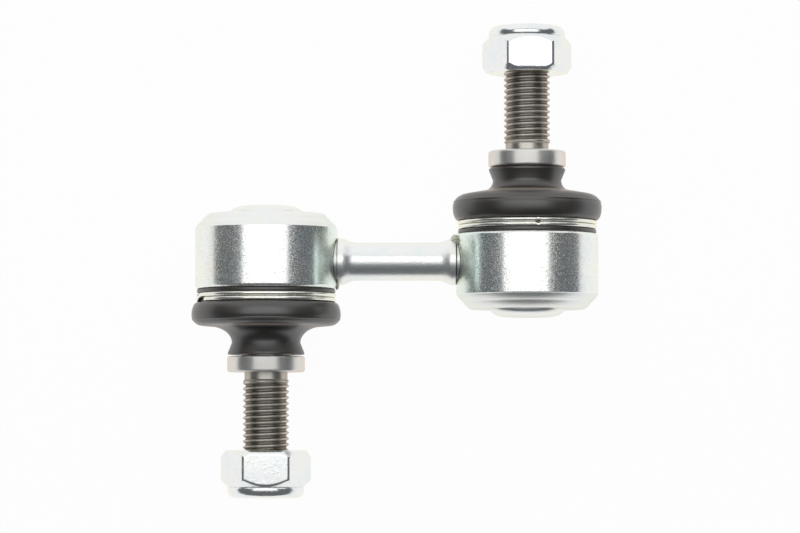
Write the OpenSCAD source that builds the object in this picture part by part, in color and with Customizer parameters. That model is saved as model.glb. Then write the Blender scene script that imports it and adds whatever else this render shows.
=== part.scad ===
// Stabilizer link: a rod with a sealed ball joint welded to each end.
// X runs along the rod, Y along the studs, and Z is up as the link lies on its boots.
// The studs point opposite ways, so half a turn about Z brings the link onto itself.
// The origin is the middle of the rod. Each joint is drawn about its own ball centre,
// with its axis along Z and its stud pointing up, and is then put in place.

/* [Rod] */
// Distance between the two ball centres
joint_span = 56; // [50:1:90]
// Diameter of the rod at mid length
rod_d = 8.15; // [7:0.05:9]
// Diameter of the rod where it is upset against a housing
rod_end_d = 9.8; // [9.2:0.1:11]
// Length over which the rod widens at each end
rod_flare = 5; // [2:0.5:8]
// Width of the collar that the weld pushes out round each end
weld_lip = 0.6; // [0.5:0.05:1.2]
// How far that collar stands out from the housing's side
weld_t = 0.25; // [0.1:0.05:0.45]

/* [Housing] */
// Outside diameter of a housing
housing_d = 30.5; // [30:0.5:36]
// Ball centre to the shoulder that the boot sits on
housing_front = 6; // [5.6:0.1:7]
// Ball centre to the edge where the rolled rim starts
housing_back = 7.1; // [6.9:0.1:7.6]
// Height of the rolled rim over that edge
rim_h = 3.1; // [2.6:0.1:3.5]
// Diameter of the flat that the rolled rim ends in
rim_flat_d = 24.6; // [23.5:0.1:25.5]
// How far each of the rim's two rolled passes bows outward
rim_bow = 0.25; // [0.1:0.05:0.5]
// Thickness of the rolled rim over the cover
rim_t = 1.5; // [1.2:0.1:1.8]
// Rounding of the edge next to the boot
front_round = 0.8; // [0.3:0.1:1.5]
// Diameter of the collar that the boot is clipped onto
collar_d = 24.8; // [24:0.1:25.2]
// Height of that collar over the shoulder
collar_h = 3; // [2.6:0.1:3.4]

/* [End cover] */
// Thickness of the cover plate
cover_t = 1.8; // [1.4:0.1:2]
// Diameter of the cover plate
cover_d = 25.8; // [25:0.1:26.2]
// Diameter of the raised boss
boss_d = 15.8; // [14.5:0.1:17]
// How far the boss stands out of the rolled rim
boss_h = 1.7; // [0.8:0.1:2]
// Diameter of the flat on top of the domed boss
boss_flat_d = 9.4; // [7:0.1:12]

/* [Ball stud] */
// Diameter of the ball
ball_d = 17; // [16:0.1:17.4]
// Depth of the flat behind the ball
ball_flat = 0.5; // [0.2:0.1:1]
// Greatest swing of the stud from the housing axis, in degrees
swing = 22; // [15:1:23]
// Diameter of the neck next to the ball
neck_d = 9.5; // [8:0.1:9.8]
// Diameter of the land that the boot lip turns on
land_d = 10.5; // [10.4:0.1:11]
// Length of that land
land_len = 3.4; // [3:0.1:5]
// Ball centre to the inner face of the flange
flange_at = 20.3; // [19.8:0.1:24]
// Diameter of the flange
flange_d = 16.6; // [15:0.1:20]
// Thickness of the flange
flange_t = 3.4; // [2.5:0.1:5]
// Rounding of the flange edges
flange_round = 0.6; // [0.2:0.1:1]
// Diameter of the relief between flange and thread
relief_d = 9.2; // [8.6:0.1:9.6]
// Length of that relief
relief_len = 2.1; // [1:0.1:3]
// Diameter over the thread crests
thread_d = 9.88; // [9.7:0.02:9.98]
// Ball centre to the tip of the stud
stud_len = 49; // [44:0.5:60]
// Chamfer at the tip
tip_chamfer = 0.8; // [0.4:0.1:1.2]
// Width across the flats of the socket that holds the stud against turning
socket_af = 5; // [4:0.5:6]
// Depth of that socket
socket_depth = 5; // [3:0.5:8]

/* [Seat] */
// Wall between the ball and the housing
seat_wall = 2.65; // [2.4:0.05:2.8]

/* [Boot] */
// Wall of the boot
boot_wall = 1.5; // [1.2:0.1:1.7]
// Diameter of the boot rim on the housing shoulder
boot_rim_d = 30.2; // [29.6:0.1:30.4]
// Thickness of that rim
boot_rim_t = 0.7; // [0.5:0.1:1.4]
// Diameter of the boot just over the clip
boot_base_d = 29.8; // [29.4:0.1:30.4]
// Greatest diameter of the boot
boot_d = 32; // [31.6:0.1:34]
// Diameter of the boot neck
boot_neck_d = 14.7; // [14.2:0.1:15.2]
// Neck to the flange, along the stud
boot_neck_drop = 2.9; // [2.7:0.1:3.3]
// Diameter of the boot lip
boot_lip_d = 16.4; // [15.6:0.1:17]
// Thickness of the boot lip at its edge
boot_lip_t = 0.4; // [0.2:0.1:0.8]
// Rounding of the left boot's shoulder, which is pressed flat
left_shoulder_round = 2.2; // [1.8:0.1:2.6]
// Fall of the left boot's shoulder, in degrees
left_shoulder_fall = 5; // [0:1:8]
// Height of the rounding from the left boot's shoulder into its neck
left_flare = 3.5; // [2.5:0.1:3.7]
// Width of that rounding
left_flare_w = 5; // [2.5:0.1:5.5]
// Rounding of the right boot's shoulder, which stands up
right_shoulder_round = 2.9; // [2.4:0.1:4.6]
// Fall of the right boot's shoulder, in degrees
right_shoulder_fall = 10; // [4:1:11]
// Height of the rounding from the right boot's shoulder into its neck
right_flare = 2.2; // [1.2:0.1:2.6]
// Width of that rounding
right_flare_w = 2.2; // [1.2:0.1:3.5]
// Wall of the bush in the boot lip
lip_ring_wall = 0.95; // [0.6:0.05:1.1]
// Length of that bush
lip_ring_len = 2; // [1.4:0.1:2.3]

/* [Boot clip] */
// Width of the clip wire, along the joint axis
wire_w = 0.98; // [0.7:0.02:1.1]
// Thickness of the clip wire, outward
wire_t = 1; // [0.8:0.05:1.1]
// Outside diameter of the clip
clip_d = 30; // [29.6:0.1:30.4]
// Angle over which one winding crosses to the next, in degrees
clip_cross = 24; // [12:2:40]
// Angle left open at each end of the wire, in degrees
clip_open = 6; // [2:1:14]
// Where the left clip's crossing lies round the housing, in degrees
left_clip_turn = 0; // [0:1:359]
// Where the right clip's crossing lies round the housing, in degrees
right_clip_turn = 102; // [0:1:359]

/* [Nut] */
// Width across the flats
nut_af = 17; // [16.6:0.1:18]
// Height of the hexagon
nut_hex_h = 7.9; // [6:0.1:8.4]
// Height of the round collar over the hexagon
nut_collar_h = 2.3; // [2:0.1:3.4]
// Diameter of the round collar
nut_collar_d = 16.4; // [15.6:0.1:16.6]
// Rounding of the round collar's edge
nut_collar_round = 1.7; // [0.5:0.1:1.9]
// Chamfer along the hexagon's edge next to the flange
nut_edge = 0.6; // [0.3:0.1:1]
// Slope of the turned chamfer next to the collar, in degrees
nut_chamfer = 40; // [30:1:45]
// Chamfer at the mouth of the nut's bore
nut_bore_chamfer = 0.8; // [0.4:0.1:1.2]
// How far the stud tip stops short of the nut's end
tip_inset = 1.6; // [0.6:0.1:1.8]
// Diameter of the locking ring
insert_d = 13.8; // [12.4:0.1:14.2]
// Thickness of the collar edge rolled over the locking ring
insert_lip = 0.6; // [0.4:0.1:0.9]
// Opening in that edge
insert_open_d = 12; // [11:0.1:12.2]

/* [Hidden] */

// Clearance between pieces that are fixed to each other
fixed_gap = 0.02;
// Clearance between pieces that turn or slide on each other
run_gap = 0.05;
// Clearance round the stud at the end of its swing
swing_gap = 0.5;
// Room between the boot lip and the flange
lip_gap = 0.35;
// Room between the cover boss and the rolled rim
boss_gap = 0.4;
// Room round the clip wire in its groove
clip_gap = 0.08;

zinc = "gainsboro";
steel = "dimgray";
rubber = "#3a3838";
plastic = "ivory";

// Radii and stations of the joint, measured from the ball centre
ball_r = ball_d / 2;
neck_r = neck_d / 2;
cavity_r = ball_r + run_gap + seat_wall;
seat_front = ball_r * cos(asin(neck_r / ball_r) + swing) - swing_gap;
rim_s = -housing_back - rim_h;
rim_under = rim_s + rim_t;
ledge_s = rim_under + cover_t;
boss_s = rim_s - boss_h;
hat_r = boss_d / 2 - cover_t;
hat_s = boss_s + cover_t;
collar_s = housing_front + collar_h;

// The boot lip and its bush stop short of the flange
lip_s = flange_at - lip_gap;
boot_neck_s = flange_at - boot_neck_drop;
lip_ring_r = land_d / 2 + run_gap;

// The clip groove lies between the boot rim and the boot bulge
rim_top = housing_front + run_gap + boot_rim_t;
wire_pitch = wire_w + fixed_gap;
groove_top = rim_top + 2 * clip_gap + wire_pitch + wire_w;
groove_r = clip_d / 2 - wire_t - clip_gap;

// The nut stands on the stud with the tip inside its locking ring
flange_top = flange_at + flange_t;
nut_h = nut_hex_h + nut_collar_h;
nut_at = stud_len + tip_inset - nut_h;
nut_bore_r = thread_d / 2 + run_gap;

// Points of an arc, with its angles in degrees
function arc(centre, r, from, to, n = 10) = oval(centre, [r, r], from, to, n);

// Points of an arc of an ellipse with these half widths
function oval(centre, half, from, to, n = 10) =
    [for (i = [0:n])
        let (a = from + (to - from) * i / n)
        centre + [half.x * cos(a), half.y * sin(a)]];

// Points of an arc from p to q that bows by sag to the right of that way
function bowed(p, q, sag) =
    let (half = (q - p) / 2,
         r = (half * half / sag + sag) / 2,
         out = [half.y, -half.x] / norm(half),
         centre = p + half - (r - sag) * out,
         start = atan2(p.y - centre.y, p.x - centre.x))
    arc(centre, r, start, start + 2 * asin(norm(half) / r));

module revolve(points) {
    rotate_extrude($fn = 96)
        polygon(points);
}

module at_left() {
    rotate([0, 0, 180])
        at_right()
            children();
}

module at_right() {
    translate([joint_span / 2, 0, 0])
        rotate([-90, 0, 0])
            children();
}

// Half of the rod, from its middle to the housing axis
module half_rod() {
    side_x = (joint_span - housing_d) / 2;
    weld_x = side_x - weld_t;
    weld_r = rod_end_d / 2 + weld_lip;
    rotate([0, 90, 0])
        revolve(concat(
            [[0, joint_span / 2], [0, 0], [rod_d / 2, 0]],
            [for (i = [0:12])
                let (t = i / 12)
                [rod_d / 2 + (rod_end_d - rod_d) / 4 * (1 - cos(180 * t)), weld_x - rod_flare * (1 - t)]],
            [[weld_r - weld_t, weld_x], [weld_r, side_x], [weld_r, joint_span / 2]]));
}

module link_rod() {
    color(zinc)
        difference() {
            union() {
                half_rod();
                rotate([0, 0, 180])
                    half_rod();
            }
            for (side = [-1, 1])
                translate([side * joint_span / 2, 0, 0])
                    rotate([90, 0, 0])
                        cylinder(d = housing_d + 2 * fixed_gap, h = housing_d, center = true, $fn = 96);
        }
}

// Cup with a rolled rim behind and a mouth that clears the swinging neck
module housing() {
    reach = tan(swing);
    throat = neck_r / cos(swing) + swing_gap;
    housing_r = housing_d / 2;
    rim_inner = [rim_flat_d / 2, rim_s];
    rim_outer = [housing_r, -housing_back];
    rim_middle = (rim_inner + rim_outer) / 2;
    color(zinc)
        revolve(concat(
            [[boss_d / 2 + boss_gap, rim_s]],
            bowed(rim_inner, rim_middle, rim_bow),
            bowed(rim_middle, rim_outer, rim_bow),
            arc([housing_r - front_round, housing_front - front_round], front_round, 0, 90),
            [[collar_d / 2, housing_front],
             [collar_d / 2, collar_s],
             [collar_s * reach + throat, collar_s],
             [seat_front * reach + throat, seat_front],
             [cavity_r, seat_front],
             [cavity_r, ledge_s],
             [cover_d / 2, ledge_s],
             [cover_d / 2, rim_under],
             [boss_d / 2 + boss_gap, rim_under]]));
}

// Pressed plate with a hollow, domed boss, under the rolled rim
module cover() {
    plate_r = cover_d / 2 - fixed_gap;
    boss_r = boss_d / 2;
    flat_r = boss_flat_d / 2;
    color(zinc)
        revolve(concat(
            [[0, hat_s], [0, boss_s]],
            oval([flat_r, rim_s], [boss_r - flat_r, -boss_h], 90, 0),
            [[boss_r, rim_under + fixed_gap],
             [plate_r, rim_under + fixed_gap],
             [plate_r, ledge_s - fixed_gap],
             [hat_r, ledge_s - fixed_gap],
             [hat_r, hat_s]]));
}

// Back half of the ball seat, with its floor in the hollow boss
module seat_cup() {
    cup_r = cavity_r - fixed_gap;
    floor_r = hat_r - fixed_gap;
    color(plastic)
        difference() {
            revolve([[0, hat_s + fixed_gap], [floor_r, hat_s + fixed_gap],
                     [floor_r, ledge_s], [cup_r, ledge_s], [cup_r, -fixed_gap], [0, -fixed_gap]]);
            sphere(r = ball_r + run_gap, $fn = 96);
        }
}

// Front half of the ball seat, under the housing mouth
module seat_ring() {
    color(plastic)
        difference() {
            cylinder(r = cavity_r - fixed_gap, h = seat_front - fixed_gap, $fn = 96);
            sphere(r = ball_r + run_gap, $fn = 96);
        }
}

// Ball, neck, boot land, flange and shank in one piece
module ball_stud() {
    land_s = flange_at - land_len;
    land_r = land_d / 2;
    flange_r = flange_d / 2 - flange_round;
    relief_s = flange_top + relief_len;
    thread_r = thread_d / 2;
    color(steel)
        difference() {
            union() {
                intersection() {
                    sphere(r = ball_r, $fn = 96);
                    translate([0, 0, ball_flat - ball_r])
                        cylinder(r = ball_d, h = 2 * ball_d, $fn = 96);
                }
                revolve(concat(
                    [[0, 0], [neck_r, 0], [neck_r, land_s - (land_r - neck_r)], [land_r, land_s],
                     [land_r, flange_at]],
                    arc([flange_r, flange_at + flange_round], flange_round, -90, 0, 6),
                    arc([flange_r, flange_top - flange_round], flange_round, 0, 90, 6),
                    [[relief_d / 2, flange_top],
                     [relief_d / 2, relief_s],
                     [thread_r, relief_s + thread_r - relief_d / 2],
                     [thread_r, stud_len - tip_chamfer],
                     [thread_r - tip_chamfer, stud_len],
                     [0, stud_len]]));
            }
            translate([0, 0, stud_len - socket_depth])
                cylinder(d = socket_af / cos(30), h = socket_depth + tip_chamfer, $fn = 6);
        }
}

// Bulged sleeve of even wall, clipped on the collar and closed round the stud by its lip
module boot(shoulder_round, shoulder_fall, flare) {
    wall = [boot_wall, boot_wall];
    bulge_r = boot_d / 2;
    base_r = boot_base_d / 2;
    neck_r = boot_neck_d / 2;
    mouth_r = collar_d / 2 + run_gap;
    // The shoulder falls in a straight line that touches both of its roundings
    flare_at = [neck_r + flare.x, boot_neck_s];
    flare_reach = norm([flare.x * sin(shoulder_fall), flare.y * cos(shoulder_fall)]);
    flare_end = 270 - atan(tan(shoulder_fall) * flare.x / flare.y);
    shoulder_run = bulge_r - shoulder_round - flare_at.x;
    shoulder_s = boot_neck_s
        - (shoulder_round + flare_reach + shoulder_run * sin(shoulder_fall)) / cos(shoulder_fall);
    shoulder_at = [bulge_r - shoulder_round, shoulder_s];
    base_at = [base_r, shoulder_s];
    bush_r = lip_ring_r + lip_ring_wall + run_gap;
    bush_s = lip_s - lip_ring_len - 2 * run_gap;
    color(rubber)
        revolve(concat(
            [[mouth_r, housing_front + run_gap],
             [boot_rim_d / 2, housing_front + run_gap],
             [boot_rim_d / 2, rim_top],
             [groove_r, rim_top],
             [groove_r, groove_top]],
            oval(base_at, [bulge_r - base_r, shoulder_s - groove_top], -90, 0),
            arc(shoulder_at, shoulder_round, 0, 90 - shoulder_fall),
            oval(flare_at, flare, flare_end, 180),
            [[boot_lip_d / 2, lip_s - boot_lip_t],
             [boot_lip_d / 2, lip_s],
             [bush_r, lip_s],
             [bush_r, bush_s],
             [neck_r - boot_wall, bush_s]],
            oval(flare_at, flare + wall, 180, flare_end),
            arc(shoulder_at, shoulder_round - boot_wall, 90 - shoulder_fall, 0),
            [[mouth_r, collar_s + swing_gap]]));
}

// Bush moulded into the boot lip, which turns on the stud land
module boot_lip_ring() {
    color(steel)
        revolve([[lip_ring_r, lip_s - lip_ring_len - run_gap],
                 [lip_ring_r + lip_ring_wall, lip_s - lip_ring_len - run_gap],
                 [lip_ring_r + lip_ring_wall, lip_s - run_gap],
                 [lip_ring_r, lip_s - run_gap]]);
}

// Wire ring of two flat windings, the first crossing to the second in front of both ends
module boot_clip() {
    steps = 112;
    edge = wire_w / 3;
    first = clip_open;
    last = 720 - clip_cross - clip_open;
    outer_r = clip_d / 2;
    inner_r = outer_r - wire_t;
    low = rim_top + clip_gap;
    high = low + wire_w;
    section = [[inner_r, low], [outer_r - edge, low], [outer_r, low + edge],
               [outer_r, high - edge], [outer_r - edge, high], [inner_r, high]];
    sides = len(section);
    points = [for (i = [0:steps])
        let (turn = first + (last - first) * i / steps,
             part_way = min(max((turn - 360 + clip_cross) / clip_cross, 0), 1),
             lift = wire_pitch * (1 - cos(180 * part_way)) / 2)
        for (p = section) [p.x * cos(turn), p.x * sin(turn), p.y + lift]];
    walls = [for (i = [0:steps - 1], k = [0:sides - 1])
        let (next = (k + 1) % sides)
        [i * sides + k, (i + 1) * sides + k, (i + 1) * sides + next, i * sides + next]];
    ends = [[for (k = [0:sides - 1]) k],
            [for (k = [sides - 1:-1:0]) steps * sides + k]];
    color(zinc)
        polyhedron(points, concat(walls, ends), convexity = 4);
}

// Turned profile of the nut: its bore, the chamfer behind the hexagon and the rounded collar
module nut_turning() {
    blank_r = nut_af / cos(30) / 2 + nut_edge;
    collar_r = nut_collar_d / 2;
    edge_r = min(nut_collar_round, collar_r - insert_open_d / 2);
    revolve(concat(
        [[nut_bore_r + nut_bore_chamfer, 0],
         [blank_r, 0],
         [blank_r, nut_hex_h - (blank_r - collar_r) * tan(nut_chamfer)],
         [collar_r, nut_hex_h]],
        arc([collar_r - edge_r, nut_h - edge_r], edge_r, 0, 90),
        [[insert_open_d / 2, nut_h],
         [insert_open_d / 2, nut_h - insert_lip],
         [insert_d / 2, nut_h - insert_lip],
         [insert_d / 2, nut_hex_h],
         [nut_bore_r, nut_hex_h],
         [nut_bore_r, nut_bore_chamfer]]));
}

// Hexagon nut with a round collar, chamfered along the edge next to the flange
module nut() {
    color(zinc)
        translate([0, 0, nut_at])
            intersection() {
                nut_turning();
                cylinder(d = nut_af / cos(30), h = nut_h, $fn = 6);
                cylinder(d1 = (nut_af - 2 * nut_edge) / cos(30),
                         d2 = (nut_af - 2 * nut_edge + 2 * nut_h) / cos(30), h = nut_h, $fn = 6);
            }
}

// Locking ring held in the nut's collar
module nut_insert() {
    ring_r = insert_d / 2 - run_gap;
    low = nut_at + nut_hex_h + run_gap;
    high = nut_at + nut_h - insert_lip - run_gap;
    color(plastic)
        revolve([[nut_bore_r, low], [ring_r, low], [ring_r, high], [nut_bore_r, high]]);
}

module housing_left() at_left() housing();
module housing_right() at_right() housing();
module cover_left() at_left() cover();
module cover_right() at_right() cover();
module seat_cup_left() at_left() seat_cup();
module seat_cup_right() at_right() seat_cup();
module seat_ring_left() at_left() seat_ring();
module seat_ring_right() at_right() seat_ring();
module boot_clip_left() at_left() rotate([0, 0, left_clip_turn]) boot_clip();
module boot_clip_right() at_right() rotate([0, 0, right_clip_turn]) boot_clip();
module boot_left() at_left() boot(left_shoulder_round, left_shoulder_fall, [left_flare_w, left_flare]);
module boot_right() at_right() boot(right_shoulder_round, right_shoulder_fall, [right_flare_w, right_flare]);
module boot_lip_ring_left() at_left() boot_lip_ring();
module boot_lip_ring_right() at_right() boot_lip_ring();
module ball_stud_left() at_left() ball_stud();
module ball_stud_right() at_right() ball_stud();
module nut_insert_left() at_left() nut_insert();
module nut_insert_right() at_right() nut_insert();
module nut_left() at_left() nut();
module nut_right() at_right() nut();

link_rod();
housing_left();
housing_right();
cover_left();
cover_right();
seat_cup_left();
seat_cup_right();
seat_ring_left();
seat_ring_right();
boot_clip_left();
boot_clip_right();
boot_left();
boot_right();
boot_lip_ring_left();
boot_lip_ring_right();
ball_stud_left();
ball_stud_right();
nut_insert_left();
nut_insert_right();
nut_left();
nut_right();
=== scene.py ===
import math

import bmesh
import bpy
import numpy as np
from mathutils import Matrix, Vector


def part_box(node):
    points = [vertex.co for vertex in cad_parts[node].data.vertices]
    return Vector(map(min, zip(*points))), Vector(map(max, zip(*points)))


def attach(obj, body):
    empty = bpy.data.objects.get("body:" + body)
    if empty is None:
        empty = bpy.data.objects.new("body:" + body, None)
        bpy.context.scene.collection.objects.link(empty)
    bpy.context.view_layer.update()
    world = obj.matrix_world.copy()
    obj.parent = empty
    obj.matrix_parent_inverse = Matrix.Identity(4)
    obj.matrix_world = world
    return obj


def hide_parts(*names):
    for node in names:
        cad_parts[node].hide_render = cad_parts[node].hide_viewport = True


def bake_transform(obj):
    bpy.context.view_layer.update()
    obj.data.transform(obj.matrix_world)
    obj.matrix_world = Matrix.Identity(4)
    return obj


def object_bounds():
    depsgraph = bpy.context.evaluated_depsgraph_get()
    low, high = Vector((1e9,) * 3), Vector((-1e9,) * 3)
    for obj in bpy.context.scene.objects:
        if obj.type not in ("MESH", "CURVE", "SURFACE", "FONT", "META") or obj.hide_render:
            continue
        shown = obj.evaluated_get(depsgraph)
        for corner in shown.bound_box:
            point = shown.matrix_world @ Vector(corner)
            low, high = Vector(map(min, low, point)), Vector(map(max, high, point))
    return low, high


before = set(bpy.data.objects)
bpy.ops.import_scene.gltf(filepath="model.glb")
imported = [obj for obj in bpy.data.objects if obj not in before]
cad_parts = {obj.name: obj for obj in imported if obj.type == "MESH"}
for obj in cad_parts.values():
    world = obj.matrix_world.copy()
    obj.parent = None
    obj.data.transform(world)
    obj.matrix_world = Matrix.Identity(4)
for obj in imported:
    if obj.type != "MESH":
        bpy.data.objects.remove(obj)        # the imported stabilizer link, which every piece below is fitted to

cad_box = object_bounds()

# The part's lengths are written in millimetres and brought to Blender's metres by this factor
MM = 0.001
FULL_TURN = 2 * math.pi
# Arcs get a point every so many degrees, and solids of revolution so many columns
ARC_STEP_DEG = 6
ROUND_COUNT = 192
# Points of a piece that lie closer than this become one
MERGE_DISTANCE = 1e-5

# Half a turn about Z brings one joint onto the other, so each is drawn as the right one
SIDES = {"left": -1, "right": 1}


def span_of(node, axis):
    """Lowest and highest coordinate of a CAD node along one axis, in millimetres."""
    low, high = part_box(node)
    return low[axis] / MM, high[axis] / MM


def half_width(node):
    """Half the width of a CAD node across its stud, in millimetres."""
    low, high = span_of(node, 0)
    return (high - low) / 2


# Places and radii that the CAD model settles. Stations run along the stud from the ball centre.
JOINT_X = sum(span_of("housing_right", 0)) / 2
HOUSING_R = half_width("housing_right")
RIM_S, COLLAR_S = span_of("housing_right", 1)
BOSS_S = span_of("cover_right", 1)[0]
CLIP_R = half_width("boot_clip_right")
CLIP_LOW, CLIP_HIGH = span_of("boot_clip_right", 1)
BOOT_R = half_width("boot_right")
BOOT_FOOT_S, LIP_S = span_of("boot_right", 1)
BALL_R = half_width("ball_stud_right")
BALL_BACK_S, TIP_S = span_of("ball_stud_right", 1)
NUT_LOW, NUT_HIGH = span_of("nut_right", 1)


# Mesh helpers

def outline(*corners, step_deg=ARC_STEP_DEG):
    """Points of an outline through corners (radius, station, rounding), each rounding an arc."""
    points = []
    for i, (radius, station, rounding) in enumerate(corners):
        here = np.array((radius, station), float)
        if rounding == 0 or i in (0, len(corners) - 1):
            points.append(here)
            continue
        back = np.array(corners[i - 1][:2]) - here
        ahead = np.array(corners[i + 1][:2]) - here
        back, ahead = back / np.linalg.norm(back), ahead / np.linalg.norm(ahead)
        half = math.acos(np.clip(back @ ahead, -1, 1)) / 2
        middle = here + (back + ahead) / np.linalg.norm(back + ahead) * rounding / math.sin(half)
        start = here + back * rounding / math.tan(half) - middle
        end = here + ahead * rounding / math.tan(half) - middle
        sweep = math.copysign(math.pi - 2 * half, start[0] * end[1] - start[1] * end[0])
        count = max(2, round(abs(math.degrees(sweep)) / step_deg))
        first = math.atan2(start[1], start[0])
        for k in range(count + 1):
            angle = first + sweep * k / count
            points.append(middle + rounding * np.array((math.cos(angle), math.sin(angle))))
    return np.array(points)


def arc(middle, half, from_deg, to_deg, step_deg=ARC_STEP_DEG):
    """Points of an arc in the plane of radius and station. Two half widths make it an ellipse's."""
    count = max(2, round(abs(to_deg - from_deg) / step_deg))
    angles = np.radians(np.linspace(from_deg, to_deg, count + 1))
    return np.array(middle) + np.array(half) * np.stack([np.cos(angles), np.sin(angles)], -1)


def round_joint(side, radius, station, angle):
    """Points round a joint's axis. Angle 0 faces up, and it turns with the stud's thread."""
    sign = SIDES[side]
    radius, station, angle = np.broadcast_arrays(radius, station, angle)
    return np.stack([sign * (JOINT_X + radius * np.sin(angle)), sign * station, radius * np.cos(angle)], -1)


def columns(count):
    """Angles of evenly spaced columns round an axis."""
    return np.arange(count) * FULL_TURN / count


def smooth(share):
    """Eased step from 0 to 1."""
    share = np.clip(share, 0, 1)
    return share * share * (3 - 2 * share)


def grid_piece(name, points, material, sharp_deg=32, rows_close=False, marks=None):
    """Object from a grid of points in millimetres. Its columns close on themselves, its rows if asked.

    Marks are named numbers, one for each point, that a material can read.
    """
    rows, count = points.shape[:2]
    index = np.arange(rows * count).reshape(rows, count)
    if rows_close:
        index = np.vstack([index, index[:1]])
    near, far = index[:-1], index[1:]
    quads = np.stack([near, np.roll(near, -1, 1), np.roll(far, -1, 1), far], -1).reshape(-1, 4)
    mesh = bpy.data.meshes.new(name)
    mesh.from_pydata((points.reshape(-1, 3) * MM).tolist(), [], quads.tolist())
    for label, values in (marks or {}).items():
        layer = mesh.attributes.new(label, "FLOAT", "POINT")
        layer.data.foreach_set("value", values.ravel())
    work = bmesh.new()
    work.from_mesh(mesh)
    bmesh.ops.remove_doubles(work, verts=work.verts, dist=MERGE_DISTANCE * MM)
    bmesh.ops.recalc_face_normals(work, faces=work.faces)
    work.to_mesh(mesh)
    work.free()
    mesh.shade_smooth()
    mesh.set_sharp_from_angle(angle=math.radians(sharp_deg))
    mesh.materials.append(material)
    piece = bpy.data.objects.new(name, mesh)
    bpy.context.scene.collection.objects.link(piece)
    return piece


def lathe(name, side, points, material, **options):
    """Solid of revolution about a joint's axis. The outline runs with the outside on its right."""
    points = np.asarray(points)
    grid = round_joint(side, points[:, :1], points[:, 1:], columns(ROUND_COUNT)[None, :])
    return grid_piece(name, grid, material, **options)


def swept(path, section, outward, sideways):
    """Grid of points of a section, given outward and sideways, carried along a path."""
    return (path[:, None, :] + section[None, :, :1] * outward[:, None, :]
            + section[None, :, 1:] * sideways[:, None, :])


def finish_piece(piece, body, slot, *nodes):
    """Says which body carries a piece and which CAD nodes it stands for. The slot is not used."""
    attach(piece, body)
    if nodes:
        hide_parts(*nodes)


# Materials

class Shader:
    """A material with one Principled surface, and short ways to add the nodes that feed it."""

    def __init__(self, name, **sockets):
        self.material = bpy.data.materials.new(name)
        self.material.use_nodes = True
        self.nodes = self.material.node_tree.nodes
        self.links = self.material.node_tree.links
        self.surface = self.nodes["Principled BSDF"]
        self.place = self.nodes.new("ShaderNodeTexCoord").outputs["Object"]
        for socket, value in sockets.items():
            self.surface.inputs[socket.replace("_", " ")].default_value = value

    def feed(self, socket, source):
        self.links.new(source, self.surface.inputs[socket])

    def noise(self, size, detail=3, roughness=0.55, stretch=(1, 1, 1)):
        """Noise with features of about this size in millimetres, stretched along the axes."""
        mapping = self.nodes.new("ShaderNodeMapping")
        mapping.inputs["Scale"].default_value = [1 / (size * MM * s) for s in stretch]
        self.links.new(self.place, mapping.inputs["Vector"])
        texture = self.nodes.new("ShaderNodeTexNoise")
        texture.inputs["Scale"].default_value = 1
        texture.inputs["Detail"].default_value = detail
        texture.inputs["Roughness"].default_value = roughness
        self.links.new(mapping.outputs["Vector"], texture.inputs["Vector"])
        return texture.outputs["Fac"]

    def between(self, factor, low, high, start=0.3, end=0.7):
        """Number that goes from low to high as a factor goes from start to end."""
        ranged = self.nodes.new("ShaderNodeMapRange")
        for socket, value in zip(("From Min", "From Max", "To Min", "To Max"), (start, end, low, high)):
            ranged.inputs[socket].default_value = value
        self.links.new(factor, ranged.inputs["Value"])
        return ranged.outputs["Result"]

    def colours(self, factor, *stops):
        """Colour from stops of (factor, colour)."""
        ramp = self.nodes.new("ShaderNodeValToRGB")
        elements = ramp.color_ramp.elements
        while len(elements) < len(stops):
            elements.new(0.5)
        for element, (position, colour) in zip(elements, stops):
            element.position = position
            element.color = (*colour, 1)
        self.links.new(factor, ramp.inputs["Fac"])
        return ramp.outputs["Color"]

    def tinted(self, colour, tint):
        """Colour multiplied by a tint."""
        mix = self.nodes.new("ShaderNodeMix")
        mix.data_type = "RGBA"
        mix.blend_type = "MULTIPLY"
        mix.inputs["Factor"].default_value = 1
        first, second = [socket for socket in mix.inputs if socket.type == "RGBA"]
        self.links.new(colour, first)
        self.links.new(tint, second)
        return next(socket for socket in mix.outputs if socket.type == "RGBA")

    def mark(self, label):
        """Number that the piece's points carry under this name."""
        attribute = self.nodes.new("ShaderNodeAttribute")
        attribute.attribute_name = label
        return attribute.outputs["Fac"]

    def bump(self, height, depth, under=None):
        """Normal for a height of this depth in millimetres, laid over another bump."""
        bump = self.nodes.new("ShaderNodeBump")
        bump.inputs["Distance"].default_value = depth * MM
        self.links.new(height, bump.inputs["Height"])
        if under is not None:
            self.links.new(under, bump.inputs["Normal"])
        return bump.outputs["Normal"]


# Cool, plain and warm tint of each plating
WHITE_ZINC = ((0.84, 0.89, 0.89), (0.90, 0.91, 0.89), (0.90, 0.90, 0.84))
NUT_TINTS = ((0.82, 0.86, 0.88), (0.88, 0.89, 0.89), (0.89, 0.89, 0.84))
WIRE_ZINC = ((0.80, 0.80, 0.74), (0.89, 0.88, 0.83), (0.87, 0.85, 0.75))
# Depth of a plating's streaks, as a share of its pits' depth
STREAK_SHARE = 0.12


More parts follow.
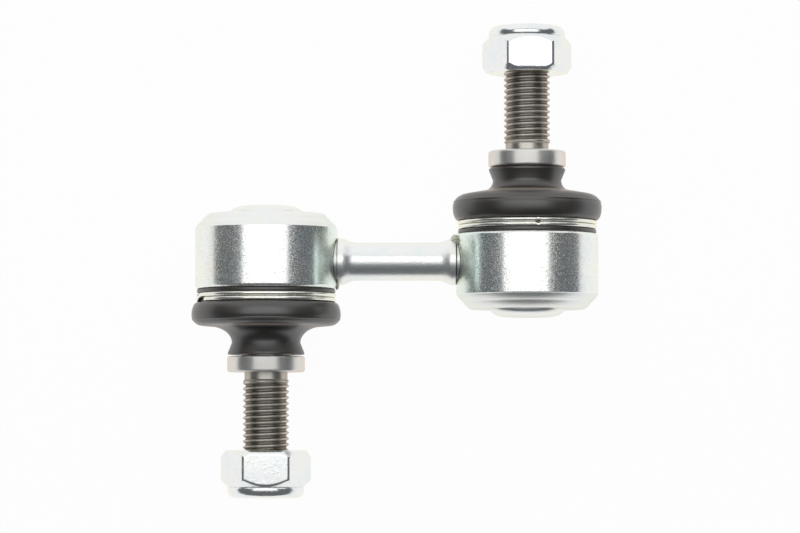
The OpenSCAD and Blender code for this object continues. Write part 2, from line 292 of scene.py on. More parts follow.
def zinc(name, roughness, grain, pit_depth, pit_roughness, streak=(1, 1, 1), tints=WHITE_ZINC,
         stain=None):
    """Bright zinc plating: pitted by a fine crystal grain, with cloudy tints and faint streaks.

    A stain is the name of a mark and the tint that the plating takes where the mark is 1.
    """
    shader = Shader(name, Metallic=1.0, Specular_Tint=(1.0, 0.99, 0.90, 1.0))
    cool, plain, warm = tints
    clouds = shader.noise(size=7, detail=2)
    plating = shader.colours(clouds, (0.3, cool), (0.5, plain), (0.72, warm))
    if stain:
        label, tint = stain
        plating = shader.tinted(plating, shader.colours(shader.mark(label), (0, (1, 1, 1)), (1, tint)))
    shader.feed("Base Color", plating)
    crystals = shader.noise(grain, detail=2, roughness=0.6)
    pits = shader.between(crystals, 0, 1, start=0.52, end=0.70)
    shader.feed("Roughness", shader.between(pits, roughness, roughness + pit_roughness, start=0, end=1))
    streaks = shader.noise(size=0.9, detail=3, stretch=streak)
    under = shader.bump(streaks, pit_depth * STREAK_SHARE)
    shader.feed("Normal", shader.bump(pits, pit_depth, under))
    return shader.material


def rubber():
    """Matte moulded rubber with a dusty bloom, a fine skin and a pale, dusty edge."""
    shader = Shader("boot_rubber", IOR=1.6, Specular_IOR_Level=1.0, Sheen_Weight=1.0, Sheen_Roughness=0.22,
                    Sheen_Tint=(1.0, 0.86, 0.76, 1.0))
    bloom = shader.noise(size=4.5, detail=4, roughness=0.6)
    dust = shader.colours(bloom, (0.32, (0.012, 0.009, 0.006)), (0.7, (0.021, 0.015, 0.010)))
    shader.feed("Base Color", dust)
    shader.feed("Roughness", shader.between(bloom, 0.32, 0.42))
    shader.feed("Normal", shader.bump(shader.noise(size=0.28, detail=3), depth=0.006))
    return shader.material


def rolled_steel():
    """Oily steel of the rolled thread, worn pale on its crests, with painted shade darkening its roots."""
    shader = Shader("thread_steel", Metallic=1.0, Specular_Tint=(0.80, 0.70, 0.62, 1.0))
    # The groove mark darkens the roots as painted shade, and the pale crests are wear
    wear_and_shade = shader.colours(shader.mark("groove"), (0.0, (0.70, 0.67, 0.62)), (0.45, (0.51, 0.49, 0.45)),
                          (1.0, (0.27, 0.255, 0.23)))
    film = shader.noise(size=1.6, detail=4, roughness=0.6)
    stain = shader.colours(film, (0.3, (0.78, 0.76, 0.73)), (0.7, (1.0, 1.0, 1.0)))
    shader.feed("Base Color", shader.tinted(wear_and_shade, stain))
    shader.feed("Roughness", shader.between(film, 0.28, 0.40))
    shader.feed("Normal", shader.bump(shader.noise(size=0.2, detail=2), depth=0.004))
    return shader.material


def turned_steel():
    """Satin steel whose turning marks run round the stud, so that it blurs reflections along it."""
    shader = Shader("turned_steel", Metallic=1.0, Specular_Tint=(1.0, 0.86, 0.76, 1.0), Anisotropic=0.8,
                    Anisotropic_Rotation=0.25)
    around = shader.nodes.new("ShaderNodeTangent")
    around.direction_type = "RADIAL"
    around.axis = "Y"
    shader.feed("Tangent", around.outputs["Tangent"])
    film = shader.noise(size=3, detail=3)
    shader.feed("Base Color", shader.colours(film, (0.3, (0.70, 0.69, 0.66)), (0.7, (0.81, 0.795, 0.76))))
    shader.feed("Roughness", shader.between(film, 0.36, 0.44))
    turning_marks = shader.noise(size=0.16, detail=2, stretch=(60, 1, 60))
    shader.feed("Normal", shader.bump(turning_marks, depth=0.002))
    return shader.material


def moulded_plastic(name, dark, pale, roughness):
    """Moulded plastic with a faint flow pattern."""
    shader = Shader(name, Specular_IOR_Level=0.45)
    flow = shader.noise(size=3.2, detail=3)
    shader.feed("Base Color", shader.colours(flow, (0.3, dark), (0.7, pale)))
    shader.feed("Roughness", shader.between(flow, roughness * 0.9, roughness * 1.1))
    shader.feed("Normal", shader.bump(shader.noise(size=0.4), depth=0.004))
    return shader.material


def weld_scale():
    """Olive oxide left on the flash that the weld squeezed out."""
    shader = Shader("weld_scale", Metallic=0.5)
    scale = shader.noise(size=0.7, detail=4, roughness=0.7)
    shader.feed("Base Color", shader.colours(scale, (0.35, (0.50, 0.50, 0.40)), (0.7, (0.82, 0.82, 0.72))))
    shader.feed("Roughness", shader.between(scale, 0.34, 0.5))
    shader.feed("Normal", shader.bump(scale, depth=0.05))
    return shader.material


HOUSING_ZINC = zinc("housing_zinc", 0.19, grain=0.23, pit_depth=0.012, pit_roughness=0.32,
                    streak=(1, 5, 1), stain=("weld_heat", (0.925, 1.0, 0.985)))
RIM_ZINC = zinc("rim_zinc", 0.38, grain=0.4, pit_depth=0.006, pit_roughness=0.12, streak=(5, 1, 5))
COVER_ZINC = zinc("cover_zinc", 0.34, grain=0.5, pit_depth=0.006, pit_roughness=0.12)
ROD_ZINC = zinc("rod_zinc", 0.30, grain=0.3, pit_depth=0.014, pit_roughness=0.12, streak=(9, 1, 1),
                stain=("seam", (0.16, 0.18, 0.18)))
NUT_ZINC = zinc("nut_zinc", 0.19, grain=0.9, pit_depth=0.005, pit_roughness=0.14, streak=(1, 4, 1),
                tints=NUT_TINTS)
CLIP_WIRE = zinc("clip_wire", 0.20, grain=0.4, pit_depth=0.002, pit_roughness=0.1, tints=WIRE_ZINC)
BOOT_RUBBER = rubber()
THREAD_STEEL = rolled_steel()
TURNED_STEEL = turned_steel()
WELD_SCALE = weld_scale()
SEAT_PLASTIC = moulded_plastic("seat_plastic", (0.74, 0.72, 0.63), (0.82, 0.80, 0.73), 0.42)
INSERT_PLASTIC = moulded_plastic("insert_plastic", (0.62, 0.66, 0.66), (0.72, 0.75, 0.74), 0.4)


# Rod and welds

ROD_R = 4.075
ROD_END_R = 5.05
ROD_FLARE = 4.2
ROD_LAND = 0.7
# Above 1, the flare widens late
FLARE_EASE = 1.4
WELD_R = 4.9
# How far the metal of the weld runs on into the housing's wall
WELD_REACH = 2.0
WELD_BEAD = 0.1
# How black the metal of the weld is, from 0 to 1
WELD_SOOT = 0.25
# How black the root of the seam is at each joint
SEAM_SOOT = {"left": 0.4, "right": 1.0}
# Groove between the rod's flat end and the metal of the weld
SEAM_W = 0.3
SEAM_DEPTH = 0.4
# Where the groove's root starts and ends, as shares of its width
SEAM_ROOT = (0.3, 0.7)


def housing_side(across):
    """How far from the rod's middle a housing's side lies, at a height across its axis."""
    return JOINT_X - np.sqrt(HOUSING_R ** 2 - across ** 2)


def rod():
    """Bar with flared ends. Beyond each flat end lies the metal of the weld, up to the housing."""
    flare_end = housing_side(0) - SEAM_W / 2
    share = np.linspace(0, 1, 16)
    flare = np.stack([flare_end - ROD_LAND - (ROD_FLARE - ROD_LAND) * (1 - share),
                      ROD_R + (ROD_END_R - ROD_R) * smooth(share ** FLARE_EASE)], -1)
    land = [(flare_end, ROD_END_R)]
    root_r = ROD_END_R - SEAM_DEPTH
    seam = [(flare_end + SEAM_W * part, root_r) for part in SEAM_ROOT]
    weld = [(flare_end + SEAM_W, WELD_R), (flare_end + WELD_REACH, WELD_R)]
    half = np.concatenate([[(0.0, ROD_R)], flare, land, seam, weld])
    stations = np.concatenate([-half[:0:-1, 0], half[:, 0]])
    radius = np.concatenate([half[:0:-1, 1], half[:, 1]])
    angle = columns(96)
    grid = np.stack(np.broadcast_arrays(
        stations[:, None], radius[:, None] * np.cos(angle), radius[:, None] * np.sin(angle)), -1)
    points = np.concatenate([grid[:1] * (1, 0, 0), grid, grid[-1:] * (1, 0, 0)])
    soot = np.where(np.abs(points[..., 0]) > flare_end + SEAM_W / 2, WELD_SOOT, 0.0)
    root = np.isclose(np.linalg.norm(points[..., 1:], axis=-1), root_r)
    for side, sign in SIDES.items():
        soot[root & (points[..., 0] * sign > 0)] = SEAM_SOOT[side]
    piece = grid_piece("rod", points, ROD_ZINC, marks={"seam": soot})
    finish_piece(piece, "link", "rod_zinc", "link_rod")


def weld_collar(side):
    """Thin dark bead on the saddle line where the weld meets a housing."""
    sign = SIDES[side]
    turn = columns(120)
    across = WELD_R * np.sin(turn)
    path = np.stack([housing_side(across), WELD_R * np.cos(turn), across], -1)
    outward = np.stack([np.zeros_like(turn), np.cos(turn), np.sin(turn)], -1)
    sideways = np.broadcast_to((1.0, 0.0, 0.0), path.shape)
    ring = columns(16)
    section = WELD_BEAD * np.stack([np.cos(ring), np.sin(ring)], -1)
    flip = np.array((sign, sign, 1.0))
    points = swept(path, section, outward, sideways) * flip
    piece = grid_piece(f"weld_collar_{side}", points, ROD_ZINC, rows_close=True,
                       marks={"seam": np.ones(points.shape[:2])})
    finish_piece(piece, "link", "rod_zinc")


# Middle and half widths of the flash at each joint
FLASHES = {
    "left": ((12.8, 5.0, 0.9), (0.45, 1.05, 0.9)),
    "right": ((13.0, 4.5, 1.8), (1.55, 1.25, 1.6)),
}
FLASH_SEEDS = {"left": 11, "right": 12}
# Least and greatest height of a flash's lumps, as shares of its size, and their waves round and along it
LUMP_HEIGHTS = (0.07, 0.15)
LUMP_WAVES = ((2, 1), (3, 2), (4, 3), (5, 4))


def weld_flash(side):
    """Lump of metal squeezed out of the weld on the boot's side."""
    sign = SIDES[side]
    draw = np.random.default_rng(FLASH_SEEDS[side])
    tilt = np.linspace(0, math.pi, 17)[:, None]
    turn = columns(32)[None, :]
    lumps = 1 + sum(
        draw.uniform(*LUMP_HEIGHTS) * np.sin(a * turn + draw.uniform(0, FULL_TURN)) * np.sin(b * tilt)
        for a, b in LUMP_WAVES)
    ball = np.stack(np.broadcast_arrays(
        np.sin(tilt) * np.cos(turn), np.sin(tilt) * np.sin(turn), np.cos(tilt)), -1)
    middle, half = FLASHES[side]
    points = (np.array(middle) + ball * lumps[..., None] * half) * (sign, sign, 1)
    piece = grid_piece(f"weld_flash_{side}", points, WELD_SCALE)
    finish_piece(piece, "link", "rod_zinc")


# Housings and covers

EDGE_S = -7.1
SHOULDER_S = 6.0
EDGE_ROUND = 0.18
FRONT_ROUND = 0.8
FRONT_WALL = 1.0
RIM_FLAT_R = 12.3
# Narrow ring that keeps the rim's flat side flat in its shading
RIM_RING = 0.4
# Step between the housing's edge and the rolled rim, across the stud and along it
RIM_STEP_R = 0.15
RIM_STEP_S = 0.0875
# How far the two rolled passes bow out, and how far the crease between them stands out
RIM_BULGE = 0.11
RIM_CREASE = 0.05
# The rim's finish starts this far beyond the edge
RIM_FINISH = 0.05
COLLAR_R = 12.4
COLLAR_ROUND = 0.3
MOUTH_R = 9.4
BORE_R = 11.2
BOSS_R = 7.9
BOSS_FLAT_R = 4.6
BOSS_GAP = 0.4
RIM_T = 1.5
COVER_BACK_S = RIM_S + RIM_T
# How far the cover's boss reaches in past the rim
COVER_REACH = 0.05
# The weld's heat tints a housing's rod side, from this share of its radius on, and fades in over the next
HEAT_START = 0.5
HEAT_FADE = 0.3


def bulged(start, end, sag, count=9):
    """Shallow arc from start to end, bowed outward to the right of that way."""
    start, end = np.array(start, float), np.array(end, float)
    share = np.linspace(0, 1, count)[:, None]
    way = end - start
    right = np.array((way[1], -way[0])) / np.linalg.norm(way)
    return start + share * way + 4 * sag * share * (1 - share) * right


def housing(side):
    """Cup whose rim is rolled in over the cover in two passes."""
    rim_start = (RIM_FLAT_R, RIM_S)
    ledge = (HOUSING_R - RIM_STEP_R, EDGE_S - RIM_STEP_S)
    middle = ((RIM_FLAT_R + ledge[0]) / 2 + RIM_CREASE, (RIM_S + ledge[1]) / 2 - RIM_CREASE)
    rest = outline(
        (*ledge, 0), (HOUSING_R, EDGE_S, EDGE_ROUND), (HOUSING_R, SHOULDER_S, FRONT_ROUND),
        (COLLAR_R, SHOULDER_S, 0), (COLLAR_R, COLLAR_S, COLLAR_ROUND), (MOUTH_R, COLLAR_S, COLLAR_ROUND),
        (MOUTH_R, SHOULDER_S - FRONT_WALL, 0), (BORE_R, SHOULDER_S - FRONT_WALL, 0),
        (BORE_R, COVER_BACK_S, 0), (BOSS_R + BOSS_GAP, COVER_BACK_S, 0),
        (BOSS_R + BOSS_GAP, RIM_S, COLLAR_ROUND), (RIM_FLAT_R - RIM_RING, RIM_S, 0))
    points = np.concatenate([
        bulged(rim_start, middle, RIM_BULGE)[:-1], bulged(middle, ledge, RIM_BULGE)[:-1], rest])
    towards_rod = -np.sin(columns(ROUND_COUNT))
    heat = np.broadcast_to(smooth((towards_rod - HEAT_START) / HEAT_FADE), (len(points), ROUND_COUNT))
    piece = lathe(f"housing_{side}_shell", side, points, HOUSING_ZINC, rows_close=True,
                  marks={"weld_heat": heat})
    piece.data.materials.append(RIM_ZINC)
    for face in piece.data.polygons:
        along = SIDES[side] * face.center.y / MM
        face.material_index = int(along < EDGE_S - RIM_FINISH)
    finish_piece(piece, "link", "housing_zinc", f"housing_{side}")


def cover(side):
    """Pressed cover whose domed boss stands out of the rolled rim."""
    quarter = np.radians(np.linspace(0, 90, 16))
    dome = np.stack([BOSS_FLAT_R + (BOSS_R - BOSS_FLAT_R) * np.sin(quarter),
                     RIM_S + (BOSS_S - RIM_S) * np.cos(quarter)], -1)
    back_s = COVER_BACK_S + COVER_REACH
    points = np.concatenate([[(0, BOSS_S)], dome, [(BOSS_R, back_s), (0, back_s)]])
    piece = lathe(f"cover_{side}_boss", side, points, COVER_ZINC)
    finish_piece(piece, "link", "cover_zinc", f"cover_{side}")


# Boots and their clips

BOOT_FOOT_R = 14.85
FOOT_ROUND = 0.2
GROOVE_ROUND = 0.1
BOOT_BASE_R = 14.9
# The bulge leaves the groove almost square to the stud
BULGE_START_DEG = -88
BOOT_NECK_R = 7.35
BOOT_NECK_S = 17.4
NECK_STRAIGHT = 0.05
BOOT_LIP_R = 8.2
BOOT_LIP_T = 0.4
LIP_BACK_ROUND = 0.25
LIP_FRONT_ROUND = 0.15
BOOT_WALL = 1.5
# The neck is thinner, so that it can fold without touching the stud
NECK_WALL = 0.7
PARTING_RIDGE = 0.1
PARTING_W = 0.3
PARTING_DEG = 26
CLIP_WIRE_T = 1.0
CLIP_ROOM = 0.08
BOOT_MOUTH_R = 12.45
# Room between the housing's collar and the inside of the bulge
COLLAR_ROOM = 0.5
BUSH_ROOM_R = 6.3
BUSH_ROOM_S = 17.85
# Rounding of the shoulder, its fall in degrees, and the width and height of the rounding into the neck
BOOT_SHAPES = {"left": (2.2, 5, (5.0, 3.5)), "right": (2.9, 10, (2.2, 2.2))}


def moulded_shoulder(middle, radius, fall):
    """Arc of a boot's shoulder, with the moulding line standing out of it."""
    half = math.degrees(PARTING_W / 2 / radius)
    return np.concatenate([
        arc(middle, radius, 0, PARTING_DEG - half),
        arc(middle, radius + PARTING_RIDGE, PARTING_DEG - half / 3, PARTING_DEG + half / 3),
        arc(middle, radius, PARTING_DEG + half, 90 - fall)])


def boot(side):
    """Bulged sleeve, clipped on at one end and lipped at the other."""
    shoulder, fall, flare = BOOT_SHAPES[side]
    groove_r = CLIP_R - CLIP_WIRE_T - CLIP_ROOM
    groove_low = CLIP_LOW - CLIP_ROOM
    groove_high = CLIP_HIGH + CLIP_ROOM
    # The shoulder falls in a straight line that touches both of its roundings
    flare_w, flare_h = flare
    lean = math.radians(fall)
    flare_reach = math.hypot(flare_w * math.sin(lean), flare_h * math.cos(lean))
    flare_end = 270 - math.degrees(math.atan(math.tan(lean) * flare_w / flare_h))
    flare_at = (BOOT_NECK_R + flare_w, BOOT_NECK_S)
    run = BOOT_R - shoulder - flare_at[0]
    shoulder_s = BOOT_NECK_S - (shoulder + flare_reach + run * math.sin(lean)) / math.cos(lean)
    shoulder_at = (BOOT_R - shoulder, shoulder_s)
    bulge = (BOOT_R - BOOT_BASE_R, shoulder_s - groove_high)
    outer = np.concatenate([
        outline((BOOT_MOUTH_R, BOOT_FOOT_S, 0), (BOOT_FOOT_R, BOOT_FOOT_S, FOOT_ROUND),
                (BOOT_FOOT_R, groove_low, FOOT_ROUND), (groove_r, groove_low, GROOVE_ROUND),
                (groove_r, groove_high, GROOVE_ROUND), (BOOT_BASE_R, groove_high, 0)),
        arc((BOOT_BASE_R, shoulder_s), bulge, BULGE_START_DEG, 0),
        moulded_shoulder(shoulder_at, shoulder, fall),
        arc(flare_at, flare, flare_end, 180),
        outline((BOOT_NECK_R, BOOT_NECK_S + NECK_STRAIGHT, 0),
                (BOOT_LIP_R, LIP_S - BOOT_LIP_T, LIP_BACK_ROUND),
                (BOOT_LIP_R, LIP_S, LIP_FRONT_ROUND), (BUSH_ROOM_R, LIP_S, 0)),
    ])
    inner = np.concatenate([
        [(BUSH_ROOM_R, BUSH_ROOM_S), (BOOT_NECK_R - NECK_WALL, BUSH_ROOM_S)],
        arc(flare_at, (flare_w + NECK_WALL, flare_h + NECK_WALL), 180, flare_end),
        arc(shoulder_at, shoulder - BOOT_WALL, 90 - fall, 0),
        [(BOOT_MOUTH_R, COLLAR_S + COLLAR_ROOM)],
    ])
    piece = lathe(f"boot_{side}_rubber", side, np.concatenate([outer, inner]), BOOT_RUBBER,
                  sharp_deg=50, rows_close=True)
    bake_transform(piece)
    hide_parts(f"boot_{side}")


CLIP_CROSS_DEG = 24
CLIP_OPEN_DEG = 6
WIRE_SPACE = 0.02
# Rounding of the wire's outer edges, as a share of its width
WIRE_ROUNDING = 0.48
WIRE_STEPS = 960
WIRE_ARC_STEP_DEG = 15
# Last point of the wire's section, just short of its first
SECTION_GAP = 0.01
# Where the crossing lies, counted from the side that faces up
CLIP_TURN_DEG = {"left": 90, "right": 192}
# Nick that spreads the two windings of the right clip
NICK_DEG = 7
NICK_HALF_W = 0.35
NICK_DEPTH = 0.32


def boot_clip(side):
    """Ring of flat wire: one winding on the boot's foot crosses to a second one over it."""
    wire_w = (CLIP_HIGH - CLIP_LOW - WIRE_SPACE) / 2
    turn = np.linspace(CLIP_OPEN_DEG, 720 - CLIP_CROSS_DEG - CLIP_OPEN_DEG, WIRE_STEPS)
    share = np.clip((turn - 360 + CLIP_CROSS_DEG) / CLIP_CROSS_DEG, 0, 1)
    lift = (wire_w + WIRE_SPACE) * (1 - np.cos(math.pi * share)) / 2
    angle = np.radians(turn + CLIP_TURN_DEG[side])
    middle_r = CLIP_R - CLIP_WIRE_T / 2
    half_t, half_w = CLIP_WIRE_T / 2, wire_w / 2
    station = CLIP_LOW + half_w + lift
    path = round_joint(side, middle_r, station, angle)
    outward = round_joint(side, middle_r + 1, station, angle) - path
    sideways = np.broadcast_to((0.0, SIDES[side], 0.0), path.shape)
    edge = wire_w * WIRE_ROUNDING
    section = outline(
        (0, -half_w, 0), (half_t, -half_w, edge), (half_t, half_w, edge), (-half_t, half_w, edge / 3),
        (-half_t, -half_w, edge / 3), (-SECTION_GAP, -half_w, 0), step_deg=WIRE_ARC_STEP_DEG)
    grid = swept(path, section, outward, sideways)
    if side == "right":
        off = (angle - math.radians(NICK_DEG) + math.pi) % FULL_TURN - math.pi
        nick = NICK_DEPTH * np.exp(-(off * middle_r / NICK_HALF_W) ** 2)
        winding = np.where(share < 0.5, -1, 1)
        facing = winding[:, None] * section[None, :, 1] < 0
        push = winding * nick
        grid[..., 1] += SIDES[side] * np.where(facing, push[:, None], 0)
    piece = grid_piece(f"boot_clip_{side}_wire", grid, CLIP_WIRE)
    finish_piece(piece, "link", "clip_wire", f"boot_clip_{side}")


# Studs and nuts

NECK_R = 4.75
NECK_ROUND = 0.4
LAND_R = 5.25
LAND_LEN = 3.4
LAND_ROUND = 0.3
FLANGE_S = 20.3
FLANGE_R = 8.3
FLANGE_T = 3.4
FLANGE_ROUND = 0.5
FLANGE_ROOT_ROUND = 0.2
CORE_R = 3.5
RELIEF_R = 4.6
RELIEF_LEN = 1.6
CREST_R = 4.94
PITCH = 1.25
THREAD_DEPTH = 0.57
CREST_FLAT = 0.14
ROOT_FLAT = 0.2
RUN_OUT = 1.4
ROWS_PER_PITCH = 24
# How dark the painted shade in the relief and the socket is, where a thread's root is 1
RELIEF_SHADE = 0.3
SOCKET_SHADE = 0.5
# How far each stud's crests are shifted along it, because each stud stands at its own turn
THREAD_SHIFT = {"left": -0.5, "right": -0.54}
TIP_CHAMFER = 0.8
SOCKET_AF = 5.0
SOCKET_DEPTH = 5.0
# Chamfer of the socket's mouth, across the stud and along it, and the cone in its floor
SOCKET_CHAMFER_R = 0.25
SOCKET_CHAMFER_S = 0.2
SOCKET_CONE = 1.0


def off_flat(angle):
    """Angle from the middle of a hexagon's nearest flat, where one flat faces up."""
    return (angle + math.pi / 6) % (math.pi / 3) - math.pi / 6


def stud_body(side):
    """Ball, neck, land and flange, with a core that the thread's piece covers."""
    ball_end = math.asin(NECK_R / BALL_R)
    ball_start = math.acos(-BALL_BACK_S / BALL_R)
    tilt = np.linspace(math.pi - ball_start, ball_end, 40)
    ball = BALL_R * np.stack([np.sin(tilt), np.cos(tilt)], -1)
    land_s = FLANGE_S - LAND_LEN
    core_s = FLANGE_S + FLANGE_T + RELIEF_LEN
    rest = outline((NECK_R, ball[-1, 1], 0), (NECK_R, land_s - LAND_R + NECK_R, NECK_ROUND),
                   (LAND_R, land_s, LAND_ROUND), (LAND_R, FLANGE_S, FLANGE_ROOT_ROUND),
                   (FLANGE_R, FLANGE_S, FLANGE_ROUND), (FLANGE_R, FLANGE_S + FLANGE_T, FLANGE_ROUND),
                   (CORE_R, FLANGE_S + FLANGE_T, 0), (CORE_R, core_s, 0), (0, core_s, 0))
    points = np.concatenate([[(0, BALL_BACK_S)], ball, rest[1:]])
    piece = lathe(f"stud_{side}_body", side, points, TURNED_STEEL)
    finish_piece(piece, f"{side}_stud", "stud_steel", f"ball_stud_{side}")


def stud_thread(side):
    """Right-hand rolled thread with a socket in its end, from the flange over the relief to the tip."""
    angle = columns(96)[None, :]
    foot_s = FLANGE_S + FLANGE_T
    start_s = foot_s + RELIEF_LEN
    station = np.linspace(foot_s, TIP_S, round((TIP_S - foot_s) / PITCH * ROWS_PER_PITCH))[:, None]
    phase = (station - THREAD_SHIFT[side]) / PITCH - angle / FULL_TURN
    from_crest = np.abs((phase + 0.5) % 1 - 0.5) * 2
    groove = np.clip((from_crest - CREST_FLAT) / (1 - CREST_FLAT - ROOT_FLAT), 0, 1)
    cut_in = smooth((station - start_s) / RUN_OUT)
    groove = groove * cut_in
    radius = CREST_R - THREAD_DEPTH * groove
    blank = RELIEF_R + np.clip(station - start_s, 0, None)
    point = CREST_R - TIP_CHAMFER + (TIP_S - station)
    radius = np.minimum(np.minimum(radius, blank), point)
    shank = round_joint(side, radius, station, angle)
    socket = SOCKET_AF / 2 / np.cos(off_flat(angle))
    floor_s = TIP_S - SOCKET_DEPTH
    hole = ((socket + SOCKET_CHAMFER_R, TIP_S), (socket, TIP_S - SOCKET_CHAMFER_S), (socket, floor_s),
            (0 * angle, floor_s - SOCKET_CONE))
    rows = [round_joint(side, r, s, angle) for r, s in hole]
    cap = round_joint(side, 0 * angle, foot_s, angle)
    points = np.concatenate([cap, shank, *rows])
    # Painted shade: the groove mark darkens the thread's roots, the relief and the socket
    painted_shade = np.zeros(points.shape[:2])
    painted_shade[1:1 + len(station)] = groove + RELIEF_SHADE * (1 - cut_in)
    painted_shade[-len(rows):] = SOCKET_SHADE
    piece = grid_piece(f"stud_{side}_thread", points, THREAD_STEEL, sharp_deg=70, marks={"groove": painted_shade})
    finish_piece(piece, f"{side}_stud", "stud_steel")


NUT_AF = 17.0
NUT_FACE_ROUND = 1.1
NUT_HEX_H = 7.9
NUT_COLLAR_R = 8.2
NUT_COLLAR_ROUND = 1.7
NUT_BORE_R = 5.0
NUT_BORE_CHAMFER = 0.8
NUT_INSERT_R = 6.9
NUT_INSERT_OPEN_R = 6.0
NUT_INSERT_LIP = 0.6
NUT_LIP_ROUND = 0.3
NUT_EDGE = 0.7
NUT_CONE_ROUND = 0.25
# Cones that cut the hexagon's corners: radius at the end of the hexagon, and widening along the stud
NUT_FRONT_R = 8.6
NUT_FRONT_SLOPE = 0.75
NUT_BACK_R = 8.1
NUT_BACK_SLOPE = 1.0
# Waist between the hexagon and the collar
NUT_WAIST_R = 8.05
NUT_WAIST_H = 0.25
# How far each nut is turned on its stud
NUT_TURN_DEG = {"left": -2, "right": 4}


def soft_min(first, second, rounding):
    """Smaller of two radii, with the edge between them rounded off."""
    share = np.clip(0.5 + (second - first) / (2 * rounding), 0, 1)
    return second + (first - second) * share - rounding * share * (1 - share)


def nut(side):
    """Hexagon chamfered at both ends, with the locking ring's collar rolled over behind it."""
    angle = columns(360)[None, :]
    off = off_flat(angle - math.radians(NUT_TURN_DEG[side]))
    # Two neighbouring flats meet at each corner, and their edge is rounded
    flat = NUT_AF / 2 / np.cos(off)
    corner = NUT_AF / 2 / np.cos(math.pi / 3 - np.abs(off))
    hexagon_r = soft_min(flat, corner, NUT_EDGE)
    # The flange side is forged round with cut corners, and the collar side is turned to a cone
    eased = NUT_FACE_ROUND * (1 - np.cos(np.radians(np.linspace(0, 90, 10))))
    station = np.concatenate([eased, np.linspace(NUT_FACE_ROUND, NUT_HEX_H, 56)[1:]])[:, None]
    into = np.clip(1 - station / NUT_FACE_ROUND, 0, 1)
    front = hexagon_r - NUT_FACE_ROUND * (1 - np.sqrt(1 - into ** 2))
    back = NUT_BACK_R + (NUT_HEX_H - station) * NUT_BACK_SLOPE
    corner_cut = NUT_FRONT_R + station * NUT_FRONT_SLOPE
    radius = soft_min(soft_min(front, corner_cut, NUT_CONE_ROUND), back, NUT_CONE_ROUND)
    wall = round_joint(side, radius, NUT_LOW + station, angle)
    height = NUT_HIGH - NUT_LOW
    lip_s = height - NUT_INSERT_LIP
    collar = outline(
        (NUT_WAIST_R, NUT_HEX_H, 0), (NUT_COLLAR_R, NUT_HEX_H + NUT_WAIST_H, 0),
        (NUT_COLLAR_R, height, NUT_COLLAR_ROUND), (NUT_INSERT_OPEN_R, height, NUT_LIP_ROUND),
        (NUT_INSERT_OPEN_R, lip_s, 0), (NUT_INSERT_R, lip_s, 0), (NUT_INSERT_R, NUT_HEX_H, 0),
        (NUT_BORE_R, NUT_HEX_H, 0), (NUT_BORE_R, NUT_BORE_CHAMFER, 0),
        (NUT_BORE_R + NUT_BORE_CHAMFER, 0, 0))
    rest = round_joint(side, collar[:, :1], NUT_LOW + collar[:, 1:], angle)
    piece = grid_piece(f"nut_{side}_body", np.concatenate([wall, rest]), NUT_ZINC, sharp_deg=40,
                       rows_close=True)
    finish_piece(piece, f"{side}_nut", "nut_zinc", f"nut_{side}")


# Pieces kept from the CAD model

def keep_node(node, material):
    """Gives a CAD node that stays in the scene its material."""
    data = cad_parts[node].data
    data.materials.clear()
    data.materials.append(material)


rod()
for joint_side in SIDES:
    weld_collar(joint_side)
    weld_flash(joint_side)
    housing(joint_side)
    cover(joint_side)
    boot(joint_side)
    boot_clip(joint_side)
    stud_body(joint_side)
    stud_thread(joint_side)
    nut(joint_side)
    keep_node(f"seat_cup_{joint_side}", SEAT_PLASTIC)
    keep_node(f"seat_ring_{joint_side}", SEAT_PLASTIC)
    keep_node(f"boot_lip_ring_{joint_side}", TURNED_STEEL)
    keep_node(f"nut_insert_{joint_side}", INSERT_PLASTIC)


# Floor, light and camera

# The floor and the lamps are measured in metres
FLOOR_Z = cad_box[0].z
FLOOR_HALF = 1.2
FLOOR_PAINT = (0.9, 0.9, 0.9)
# Share of the floor that eye and reflections see as plain white
FLOOR_GLOW = 0.97
# What both overhead lamps share
OVERHEAD_X = -0.03
OVERHEAD_Z = 0.56
OVERHEAD_W = 0.84


def white_floor():
    """White table. What the eye or a reflection sees of it is mostly white, and a soft shadow stays."""
    corners = [(x * FLOOR_HALF, y * FLOOR_HALF, FLOOR_Z) for x, y in ((-1, -1), (1, -1), (1, 1), (-1, 1))]
    mesh = bpy.data.meshes.new("floor")
    mesh.from_pydata(corners, [], [(0, 1, 2, 3)])
    floor = bpy.data.objects.new("floor", mesh)
    bpy.context.scene.collection.objects.link(floor)
    material = bpy.data.materials.new("white_table")
    material.use_nodes = True
    nodes, links = material.node_tree.nodes, material.node_tree.links
    nodes.clear()
    paint = nodes.new("ShaderNodeBsdfDiffuse")
    paint.inputs["Color"].default_value = (*FLOOR_PAINT, 1)
    glow = nodes.new("ShaderNodeEmission")
    glow.inputs["Color"].default_value = (1, 1, 1, 1)
    path = nodes.new("ShaderNodeLightPath")
    seen = path.outputs["Is Camera Ray"]
    for kind in ("Is Glossy Ray", "Is Transmission Ray"):
        either = nodes.new("ShaderNodeMath")
        either.operation = "MAXIMUM"
        links.new(seen, either.inputs[0])
        links.new(path.outputs[kind], either.inputs[1])
        seen = either.outputs[0]
    share = nodes.new("ShaderNodeMath")
    share.operation = "MULTIPLY"
    share.inputs[1].default_value = FLOOR_GLOW
    links.new(seen, share.inputs[0])
    mix = nodes.new("ShaderNodeMixShader")
    links.new(share.outputs[0], mix.inputs["Fac"])
    links.new(paint.outputs["BSDF"], mix.inputs[1])
    links.new(glow.outputs["Emission"], mix.inputs[2])
    links.new(mix.outputs["Shader"], nodes.new("ShaderNodeOutputMaterial").inputs["Surface"])
    mesh.materials.append(material)


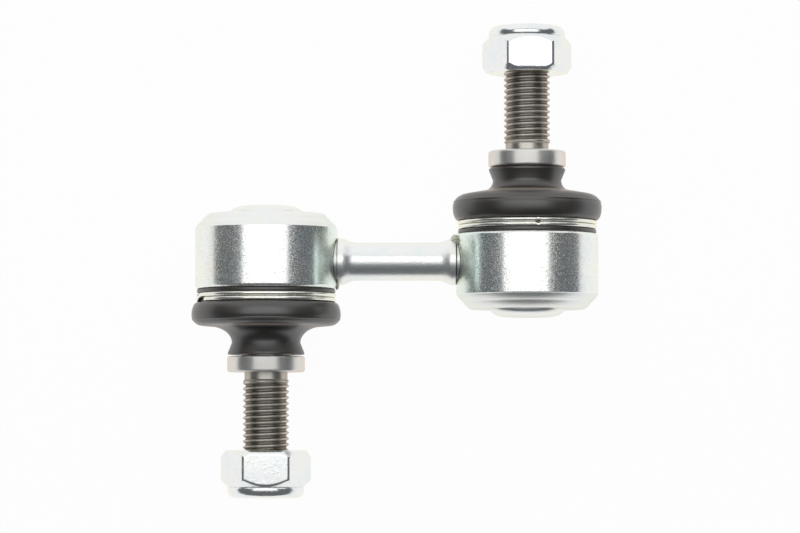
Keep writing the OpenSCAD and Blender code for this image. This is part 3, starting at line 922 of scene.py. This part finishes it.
def softbox(name, centre, size, radiance, tilt_deg=0):
    """Rectangular lamp of an even brightness that looks down, or is tilted to look along the studs."""
    light = bpy.data.lights.new(name, "AREA")
    light.shape = "RECTANGLE"
    light.size, light.size_y = size
    light.energy = radiance * math.pi * size[0] * size[1]
    lamp = bpy.data.objects.new(name, light)
    lamp.location = centre
    lamp.rotation_euler = (math.radians(-tilt_deg), 0, 0)
    bpy.context.scene.collection.objects.link(lamp)


def world_light(colour, strength):
    """Even light from all sides."""
    world = bpy.data.worlds.new("studio")
    world.use_nodes = True
    background = world.node_tree.nodes["Background"]
    background.inputs["Color"].default_value = (*colour, 1)
    background.inputs["Strength"].default_value = strength
    bpy.context.scene.world = world


IMAGE_WIDTH = 800
PIXELS_PER_MM = 4.66
CAMERA_DISTANCE = 750
CAMERA_ELEVATION = math.radians(87.1)
SENSOR = 36
# Point that the camera looks at
AIM = np.array((0.70, -1.05, 0.0))


def camera():
    """Camera of the photo, almost straight above the part."""
    data = bpy.data.cameras.new("camera")
    data.sensor_width = SENSOR
    data.lens = SENSOR * CAMERA_DISTANCE * PIXELS_PER_MM / IMAGE_WIDTH
    data.clip_start = 0.01
    eye = bpy.data.objects.new("camera", data)
    back = Vector((0, -math.cos(CAMERA_ELEVATION), math.sin(CAMERA_ELEVATION)))
    eye.location = Vector(AIM * MM) + back * CAMERA_DISTANCE * MM
    eye.rotation_euler = (-back).to_track_quat("-Z", "Y").to_euler()
    bpy.context.scene.collection.objects.link(eye)
    bpy.context.scene.camera = eye


white_floor()
softbox("overhead", (OVERHEAD_X, 0.137, OVERHEAD_Z), (OVERHEAD_W, 0.366), radiance=1.45)
softbox("overhead_edge", (OVERHEAD_X, -0.111, OVERHEAD_Z), (OVERHEAD_W, 0.13), radiance=0.4)
softbox("back_panel", (0.0, 1.0, 0.45), (3.0, 1.25), radiance=0.85, tilt_deg=66)
world_light((0.94, 1.0, 1.06), strength=0.14)
camera()
bpy.context.scene.view_settings.view_transform = "Standard"
